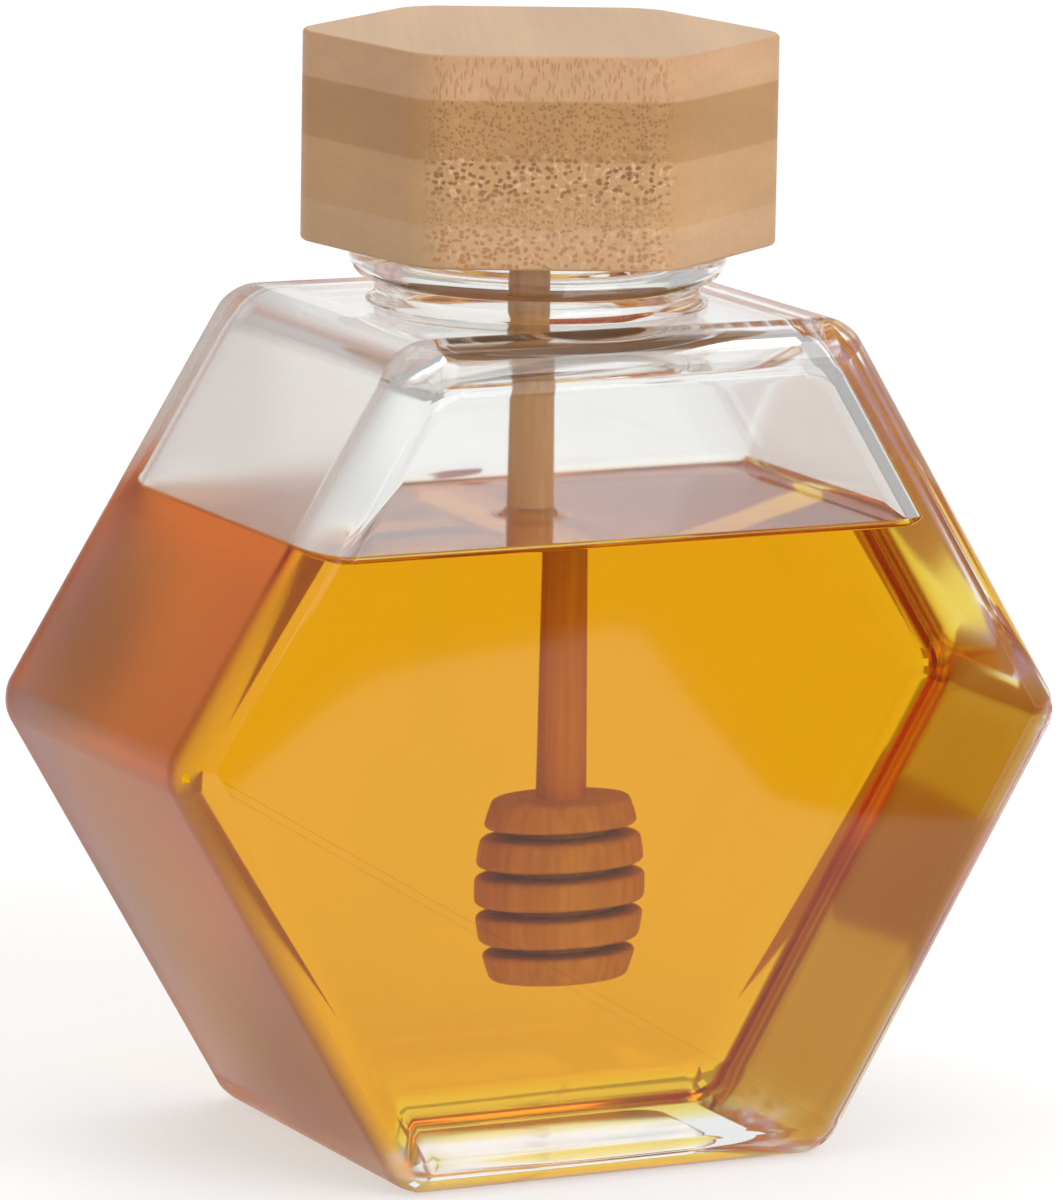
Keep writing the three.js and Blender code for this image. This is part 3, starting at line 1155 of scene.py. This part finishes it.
@dataclass
class BambooLid:
    """The lid: a six-sided block, its recess over the rim and a socket for the stick."""

    jar: GlassJar
    dipper: TurnedDipper
    across_flats: float = 49.7
    corner_radius: float = 6.5
    bottom: float = 105.9
    height: float = 24.5
    edge: float = 0.45
    corner_steps: int = 12
    edge_steps: int = 3
    turn: float = -23.4
    recess_radius: float = 22.4
    gap: float = 0.3

    def block(self) -> BMesh:
        """The six-sided block with rounded corners and softened edges."""
        bm = bmesh.new()
        circumradius = self.across_flats / 2 / math.cos(math.radians(30.0))
        spin = Matrix.Rotation(math.radians(self.turn), 4, "Z")
        bmesh.ops.create_circle(bm, cap_ends=True, radius=circumradius, segments=6, matrix=spin)
        first = max(bm.verts, key=lambda v: v.co.x)
        away = math.atan2(first.co.y, first.co.x) - math.radians(self.turn)
        bmesh.ops.rotate(bm, matrix=Matrix.Rotation(-away, 4, "Z"), verts=bm.verts[:])
        made = bmesh.ops.extrude_face_region(bm, geom=bm.faces[:])
        bmesh.ops.translate(bm, vec=(0.0, 0.0, self.height), verts=verts_of(made["geom"]))
        bmesh.ops.translate(bm, vec=(0.0, 0.0, self.bottom), verts=bm.verts[:])
        bmesh.ops.recalc_face_normals(bm, faces=bm.faces[:])
        upright = [e for e in bm.edges if abs(e.verts[0].co.z - e.verts[1].co.z) > self.height / 2]
        round_edges(bm, upright, self.corner_radius * CORNER_SHARE, self.corner_steps)
        rims = edges_of(bm, lambda face: abs(face.normal.z) > 0.99)
        round_edges(bm, rims, self.edge, self.edge_steps)
        return tidy(bm)

    def recess(self) -> BMesh:
        """The recess over the rim."""
        roof = self.jar.bead_height + self.jar.bead_radius + self.gap
        section = Outline(0.0, self.bottom - 1.0).line(self.recess_radius, self.bottom - 1.0)
        return section.line(self.recess_radius, roof).line(0.0, roof).spin(self.jar.round_steps)

    def socket(self) -> BMesh:
        """The socket for the stick."""
        radius = self.dipper.stick_top_radius + 2 * self.gap
        top = self.dipper.stick_top + self.gap
        section = Outline(0.0, self.bottom).line(radius, self.bottom).line(radius, top).line(0.0, top)
        return self.dipper.hang(section.spin(self.jar.round_steps // 2))

    def build(self) -> Object:
        """Builds and dresses the lid."""
        lid = make_piece("bamboo_lid", self.block())
        work(lid, make_piece("lid_recess", self.recess()), Cut.REMOVE)
        work(lid, make_piece("lid_socket", self.socket()), Cut.REMOVE)
        lid.data.materials.clear()
        lid.data.materials.append(LaminatedBamboo(bottom=self.bottom, height=self.height).make())
        even_normals(lid, 50.0)
        return lid


# The studio


@dataclass(frozen=True)
class PhotoCamera:
    """The photograph's camera, found from the pot's outline, with its angles in degrees."""

    azimuth: float = -26.2
    elevation: float = 10.46
    roll: float = 0.98
    distance: float = 997.6
    target: Triple = (-0.03, 0.0, 63.45)
    focal_pixels: float = 8524.5
    image_height: float = 1200.0
    sensor: float = 36.0

    def place(self) -> None:
        """Places the camera and makes it the scene's."""
        turn, lift, roll = (math.radians(a) for a in (self.azimuth, self.elevation, self.roll))
        back = Vector(
            (math.sin(turn) * math.cos(lift), -math.cos(turn) * math.cos(lift), math.sin(lift))
        )
        level = Vector((0.0, 0.0, 1.0)).cross(back).normalized()
        above = back.cross(level)
        right = level * math.cos(roll) + above * math.sin(roll)
        top_sheen = above * math.cos(roll) - level * math.sin(roll)
        data = bpy.data.cameras.new("photo_camera")
        data.sensor_fit = "VERTICAL"
        data.sensor_height = self.sensor
        data.lens = self.focal_pixels / self.image_height * self.sensor
        data.clip_start = 0.01
        data.clip_end = 20.0
        camera = bpy.data.objects.new("photo_camera", data)
        bpy.context.scene.collection.objects.link(camera)
        facing = Matrix((right, top_sheen, back)).transposed().to_4x4()
        spot = Vector(self.target) + back * self.distance
        camera.matrix_world = Matrix.Translation(spot * MM) @ facing
        bpy.context.scene.camera = camera


@dataclass(frozen=True)
class SoftBox:
    """One square soft light, in metres."""

    name: str
    spot: Triple
    aim: Triple
    side: float
    radiance: float

    def hang(self) -> None:
        """Hangs the light."""
        data = bpy.data.lights.new(self.name, "AREA")
        data.shape = "SQUARE"
        data.size = self.side
        data.energy = self.radiance * math.pi * self.side * self.side
        light = bpy.data.objects.new(self.name, data)
        bpy.context.scene.collection.objects.link(light)
        away = Vector(self.spot) - Vector(self.aim)
        facing = away.to_track_quat("Z", "Y").to_matrix().to_4x4()
        light.matrix_world = Matrix.Translation(self.spot) @ facing


def make_prop(name: str, bm: BMesh, paint: StagePaint, unseen_by: Sequence[str] = ()) -> None:
    """Turns a mesh in metres into a painted prop and hands it to the stage.

    Args:
        name: the prop's name.
        bm: the mesh, which is freed.
        paint: what it is painted with.
        unseen_by: the kinds of ray that pass it by.
    """
    bmesh.ops.scale(bm, vec=(1 / MM, 1 / MM, 1 / MM), verts=bm.verts[:])
    prop = make_piece(name, bm)
    prop.data.materials.append(paint.make())
    for ray in unseen_by:
        setattr(prop, "visible_" + ray, False)


@dataclass(frozen=True)
class Studio:
    """A pale sweep, soft light all round, a brown board behind and a dark mat in front, in metres."""

    front: float = -1.6
    back: float = 0.95
    bend: float = 0.12
    half_width: float = 1.9
    air: float = 0.52
    board_middle: Triple = (-0.38, 0.95, 0.42)
    board_size: Section = (0.8, 0.6)
    card_corners: tuple[Triple, ...] = (
        (0.0132, 0.040, 0.044), (0.0554, 0.125, 0.001), (0.0554, 0.125, 0.046), (0.0132, 0.040, 0.062),
    )
    mat_outline: tuple[Section, ...] = (
        (0.030, -0.222), (0.102, -0.316), (0.156, -0.336), (0.112, -0.204), (0.132, -0.184),
        (0.60, -0.15), (0.60, -0.80), (0.03, -0.80),
    )
    mat_height: float = 0.001
    mat_rounding: float = 0.012
    mat_rounded: int = 5
    lights: tuple[SoftBox, ...] = (
        SoftBox("top_light", (0.1, 0.25, 1.25), (0.0, 0.15, 0.0), 1.2, 1.3),
        SoftBox("window_light", (0.62, 1.05, 0.42), (0.0, 0.0, 0.08), 0.5, 0.45),
        SoftBox("front_light", (0.35, -1.3, 0.85), (0.0, 0.0, 0.06), 1.2, 3.0),
    )

    def sweep(self) -> None:
        """The floor, which bends up into a low backdrop."""
        bm = bmesh.new()
        first = bm.verts.new((-self.half_width, self.front, 0.0))
        tip = bmesh.ops.extrude_vert_indiv(bm, verts=[first])["verts"][0]
        tip.co = (-self.half_width, self.back, 0.0)
        bmesh.ops.spin(
            bm,
            geom=[tip],
            cent=(-self.half_width, self.back, self.bend),
            axis=(1.0, 0.0, 0.0),
            angle=math.pi / 2,
            steps=16,
            use_merge=False,
            use_duplicate=False,
        )
        made = bmesh.ops.extrude_edge_only(bm, edges=bm.edges[:])
        bmesh.ops.translate(bm, vec=(2 * self.half_width, 0.0, 0.0), verts=verts_of(made["geom"]))
        bmesh.ops.recalc_face_normals(bm, faces=bm.faces[:])
        make_prop("studio_sweep", bm, StagePaint("studio_paint", (0.55, 0.555, 0.555), glow=0.5))

    def board(self) -> None:
        """A warm brown board at the back on the left, which the right-hand sides mirror."""
        bm = bmesh.new()
        bmesh.ops.create_grid(bm, x_segments=1, y_segments=1, size=0.5)
        bmesh.ops.scale(bm, vec=(*self.board_size, 1.0), verts=bm.verts[:])
        middle = Vector(self.board_middle)
        facing = (-middle).to_track_quat("Z", "Y").to_matrix().to_4x4()
        bmesh.ops.transform(bm, matrix=Matrix.Translation(middle) @ facing, verts=bm.verts[:])
        paint = StagePaint("board_paint", (0.62, 0.44, 0.40), cloud_colour=(0.50, 0.34, 0.30))
        make_prop("warm_board", bm, paint)

    def card(self) -> None:
        """A small brown card upright behind the pot, edge-on to the camera and behind the dipper.

        It lies along the line of sight, so that only the pot's right-hand sides mirror it.
        """
        bm = bmesh.new()
        bm.faces.new([bm.verts.new(corner) for corner in self.card_corners])
        paint = StagePaint("card_paint", (0.50, 0.26, 0.28))
        make_prop("brown_card", bm, paint, ("camera", "diffuse", "shadow"))

    def mat(self) -> None:
        """A dark mat on the floor beyond the front, which only mirror images see.

        Its near edge gives the pale sheen on the front face its rounded upper edge.
        """
        bm = bmesh.new()
        corners = [bm.verts.new((x, y, self.mat_height)) for x, y in self.mat_outline]
        bm.faces.new(corners)
        bmesh.ops.bevel(
            bm,
            geom=corners[: self.mat_rounded],
            offset=self.mat_rounding,
            offset_type="OFFSET",
            affect="VERTICES",
            segments=6,
            profile=0.5,
            material=-1,
        )
        paint = StagePaint("mat_paint", (0.08, 0.08, 0.08))
        make_prop("dark_mat", bm, paint, ("camera", "diffuse", "shadow", "transmission"))

    def light_up(self) -> None:
        """Sets up the sweep, the props, the lights and the light of the room."""
        self.sweep()
        self.board()
        self.card()
        self.mat()
        for light in self.lights:
            light.hang()
        world = bpy.data.worlds.new("studio_air")
        world.use_nodes = True
        air = world.node_tree.nodes["Background"]
        air.inputs["Color"].default_value = WHITE
        air.inputs["Strength"].default_value = self.air
        scene = bpy.context.scene
        scene.world = world
        scene.view_settings.view_transform = "Standard"
        scene.cycles.use_denoising = True
        scene.cycles.max_bounces = 32
        scene.cycles.transmission_bounces = 32
        scene.cycles.glossy_bounces = 32
        scene.cycles.diffuse_bounces = 2
        scene.cycles.transparent_max_bounces = 8
        scene.cycles.sample_clamp_indirect = 8.0


def fit(piece: Object, node: str) -> None:
    """Puts a piece in a node's place.

    Args:
        piece: the dressed piece.
        node: the CAD node that it stands for.
    """
    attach(piece, "root")
    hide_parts(node)
    low, high = (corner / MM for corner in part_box(node))
    faces = len(piece.data.polygons)
    LOG.info("%s stands for %s, z %.1f to %.1f mm, %d faces", piece.name, node, low.z, high.z, faces)


def main() -> None:
    """Loads the frame, sets the stage and builds the pot piece by piece."""
    logging.basicConfig(level=logging.INFO, format="%(name)s: %(message)s")
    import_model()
    PhotoCamera().place()
    Studio().light_up()
    jar, dipper = GlassJar(), TurnedDipper()
    fit(jar.build(), "jar")
    fit(HoneyFill(jar, dipper).build(), "honey")
    fit(dipper.build(), "dipper")
    fit(BambooLid(jar, dipper).build(), "lid")


if __name__ == "__main__":
    main()
